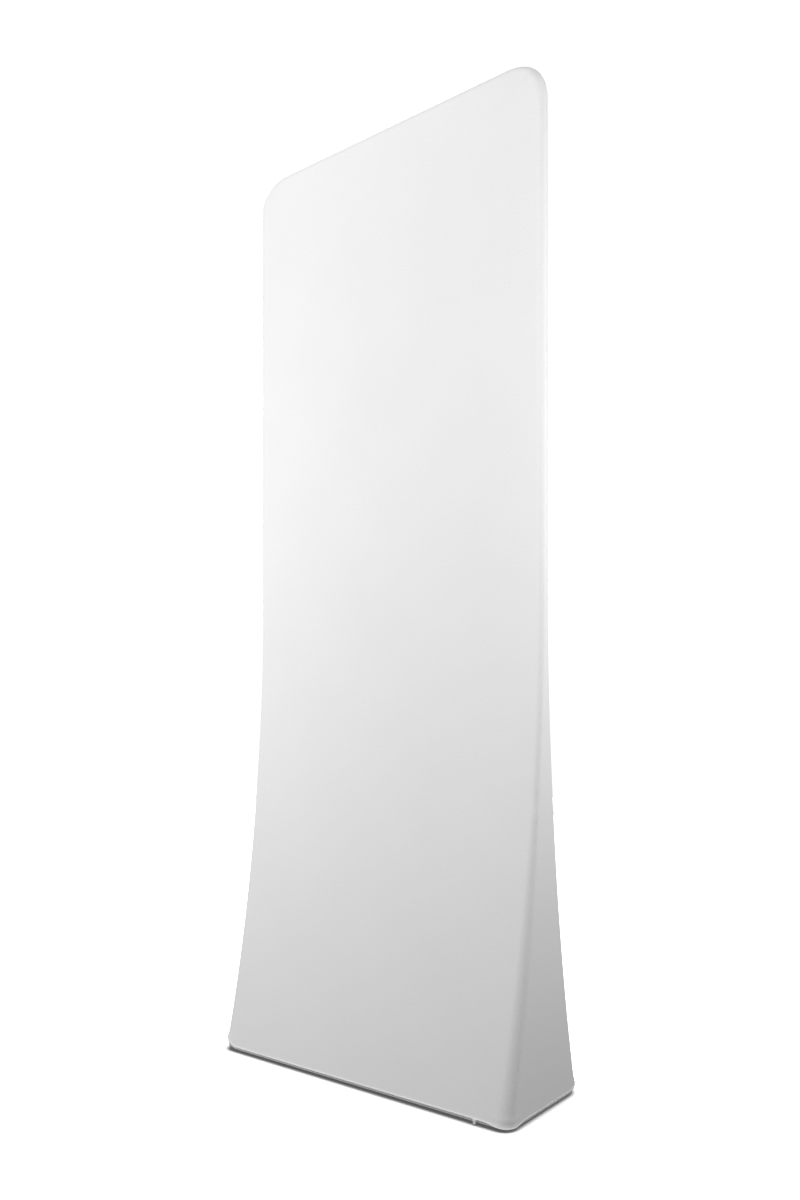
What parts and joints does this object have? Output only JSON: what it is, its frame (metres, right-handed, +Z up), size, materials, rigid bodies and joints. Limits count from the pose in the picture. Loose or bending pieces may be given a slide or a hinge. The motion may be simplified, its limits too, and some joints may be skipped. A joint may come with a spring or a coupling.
{
  "type": "fabric display tower",
  "caption": "Tall flat tower of white stretch fabric over a knock-down tube frame, flaring to a weighted base plate; the zipped sleeve lifts off.",
  "frame": {"origin": "on the floor under the middle of the tower", "axes": "+Z up, -Y towards the front panel, +X to the right when facing the front"},
  "size_m": [0.9, 0.3256, 2.38],
  "materials": {
    "sleeve_fabric": "white stretch polyester knit",
    "zip_tape": "white woven tape and coil",
    "zip_metal": "white lacquer",
    "plate_steel": "grey powder coat",
    "spigot_aluminium": "mill finish",
    "small_steel": "bright zinc",
    "rivet_aluminium": "plain",
    "plug_plastic": "moulded nylon",
    "foot_rubber": "moulded rubber",
    "tube_aluminium": "satin anodised"
  },
  "bodies": {
    "frame": {"base_flap": "sleeve_fabric", "base_plate": "plate_steel", "crossbar": "tube_aluminium", "crossbar_plug_left": "plug_plastic", "crossbar_plug_right": "plug_plastic", "elbow_left_spigot": "spigot_aluminium", "elbow_right_spigot": "spigot_aluminium", "foot_front_left": "foot_rubber", "foot_front_right": "foot_rubber", "foot_rear_left": "foot_rubber", "foot_rear_right": "foot_rubber", "foot_screws": "small_steel", "leg_front_left": "tube_aluminium", "leg_front_left_spigot": "spigot_aluminium", "leg_front_right": "tube_aluminium", "leg_front_right_spigot": "spigot_aluminium", "leg_rear_left": "tube_aluminium", "leg_rear_left_spigot": "spigot_aluminium", "leg_rear_right": "tube_aluminium", "leg_rear_right_spigot": "spigot_aluminium", "post_front_left": "spigot_aluminium", "post_front_right": "spigot_aluminium", "post_rear_left": "spigot_aluminium", "post_rear_right": "spigot_aluminium", "post_screws": "small_steel", "rail_left_spigot": "spigot_aluminium", "rail_right_spigot": "spigot_aluminium", "snap_springs": "small_steel", "spigot_rivets": "rivet_aluminium", "top_elbow_left": "tube_aluminium", "top_elbow_right": "tube_aluminium", "top_rail": "tube_aluminium", "upright_left": "tube_aluminium", "upright_left_spigot": "spigot_aluminium", "upright_right": "tube_aluminium", "upright_right_spigot": "spigot_aluminium", "wishbone_left": "tube_aluminium", "wishbone_right": "tube_aluminium", "zip_half_flap": "zip_tape"},
    "sleeve": {"sleeve_front_panel": "sleeve_fabric", "sleeve_gusset_left": "sleeve_fabric", "sleeve_gusset_right": "sleeve_fabric", "sleeve_rear_panel": "sleeve_fabric", "zip_half_sleeve": "zip_tape"},
    "zip_slider": {"zip_slider": "zip_metal"},
    "zip_puller": {"zip_puller": "zip_metal"},
    "elbow_left_button": {"elbow_left_button": "small_steel"},
    "elbow_right_button": {"elbow_right_button": "small_steel"},
    "leg_front_left_button": {"leg_front_left_button": "small_steel"},
    "leg_front_right_button": {"leg_front_right_button": "small_steel"},
    "leg_rear_left_button": {"leg_rear_left_button": "small_steel"},
    "leg_rear_right_button": {"leg_rear_right_button": "small_steel"},
    "post_front_left_button": {"post_front_left_button": "small_steel"},
    "post_front_right_button": {"post_front_right_button": "small_steel"},
    "post_rear_left_button": {"post_rear_left_button": "small_steel"},
    "post_rear_right_button": {"post_rear_right_button": "small_steel"},
    "rail_left_button": {"rail_left_button": "small_steel"},
    "rail_right_button": {"rail_right_button": "small_steel"},
    "upright_left_button": {"upright_left_button": "small_steel"},
    "upright_right_button": {"upright_right_button": "small_steel"}
  },
  "joints": [
    {"name": "sleeve_lift", "type": "slide", "parent": "frame", "child": "sleeve", "axis": [0, 0, 1], "range_m": [0, 2.45]},
    {"name": "zip_run", "type": "slide", "parent": "frame", "child": "zip_slider", "axis": [-1, 0, 0], "range_m": [0, 0.75]},
    {"name": "puller_flip", "type": "hinge", "parent": "zip_slider", "child": "zip_puller", "pos_m": [0.363, -0.1637, 0.0111], "axis": [-1, 0, 0], "range_deg": [0, 150]},
    {"name": "elbow_left_press", "type": "slide", "parent": "frame", "child": "elbow_left_button", "axis": [-1, 0, 0], "range_m": [0, 0.0042], "stiffness_N_per_m": 300, "springref_m": -0.004, "deforming": ["snap_springs"]},
    {"name": "elbow_right_press", "type": "slide", "parent": "frame", "child": "elbow_right_button", "axis": [1, 0, 0], "range_m": [0, 0.0042], "stiffness_N_per_m": 300, "springref_m": -0.004, "deforming": ["snap_springs"]},
    {"name": "leg_front_left_press", "type": "slide", "parent": "frame", "child": "leg_front_left_button", "axis": [-1, 0, 0], "range_m": [0, 0.0042], "stiffness_N_per_m": 300, "springref_m": -0.004, "deforming": ["snap_springs"]},
    {"name": "leg_front_right_press", "type": "slide", "parent": "frame", "child": "leg_front_right_button", "axis": [1, 0, 0], "range_m": [0, 0.0042], "stiffness_N_per_m": 300, "springref_m": -0.004, "deforming": ["snap_springs"]},
    {"name": "leg_rear_left_press", "type": "slide", "parent": "frame", "child": "leg_rear_left_button", "axis": [-1, 0, 0], "range_m": [0, 0.0042], "stiffness_N_per_m": 300, "springref_m": -0.004, "deforming": ["snap_springs"]},
    {"name": "leg_rear_right_press", "type": "slide", "parent": "frame", "child": "leg_rear_right_button", "axis": [1, 0, 0], "range_m": [0, 0.0042], "stiffness_N_per_m": 300, "springref_m": -0.004, "deforming": ["snap_springs"]},
    {"name": "post_front_left_press", "type": "slide", "parent": "frame", "child": "post_front_left_button", "axis": [-1, 0, 0], "range_m": [0, 0.0042], "stiffness_N_per_m": 300, "springref_m": -0.004, "deforming": ["snap_springs"]},
    {"name": "post_front_right_press", "type": "slide", "parent": "frame", "child": "post_front_right_button", "axis": [1, 0, 0], "range_m": [0, 0.0042], "stiffness_N_per_m": 300, "springref_m": -0.004, "deforming": ["snap_springs"]},
    {"name": "post_rear_left_press", "type": "slide", "parent": "frame", "child": "post_rear_left_button", "axis": [-1, 0, 0], "range_m": [0, 0.0042], "stiffness_N_per_m": 300, "springref_m": -0.004, "deforming": ["snap_springs"]},
    {"name": "post_rear_right_press", "type": "slide", "parent": "frame", "child": "post_rear_right_button", "axis": [1, 0, 0], "range_m": [0, 0.0042], "stiffness_N_per_m": 300, "springref_m": -0.004, "deforming": ["snap_springs"]},
    {"name": "rail_left_press", "type": "slide", "parent": "frame", "child": "rail_left_button", "axis": [0, 0, 1], "range_m": [0, 0.0042], "stiffness_N_per_m": 300, "springref_m": -0.004, "deforming": ["snap_springs"]},
    {"name": "rail_right_press", "type": "slide", "parent": "frame", "child": "rail_right_button", "axis": [0, 0, 1], "range_m": [0, 0.0042], "stiffness_N_per_m": 300, "springref_m": -0.004, "deforming": ["snap_springs"]},
    {"name": "upright_left_press", "type": "slide", "parent": "frame", "child": "upright_left_button", "axis": [-1, 0, 0], "range_m": [0, 0.0042], "stiffness_N_per_m": 300, "springref_m": -0.004, "deforming": ["snap_springs"]},
    {"name": "upright_right_press", "type": "slide", "parent": "frame", "child": "upright_right_button", "axis": [1, 0, 0], "range_m": [0, 0.0042], "stiffness_N_per_m": 300, "springref_m": -0.004, "deforming": ["snap_springs"]}
  ]
}
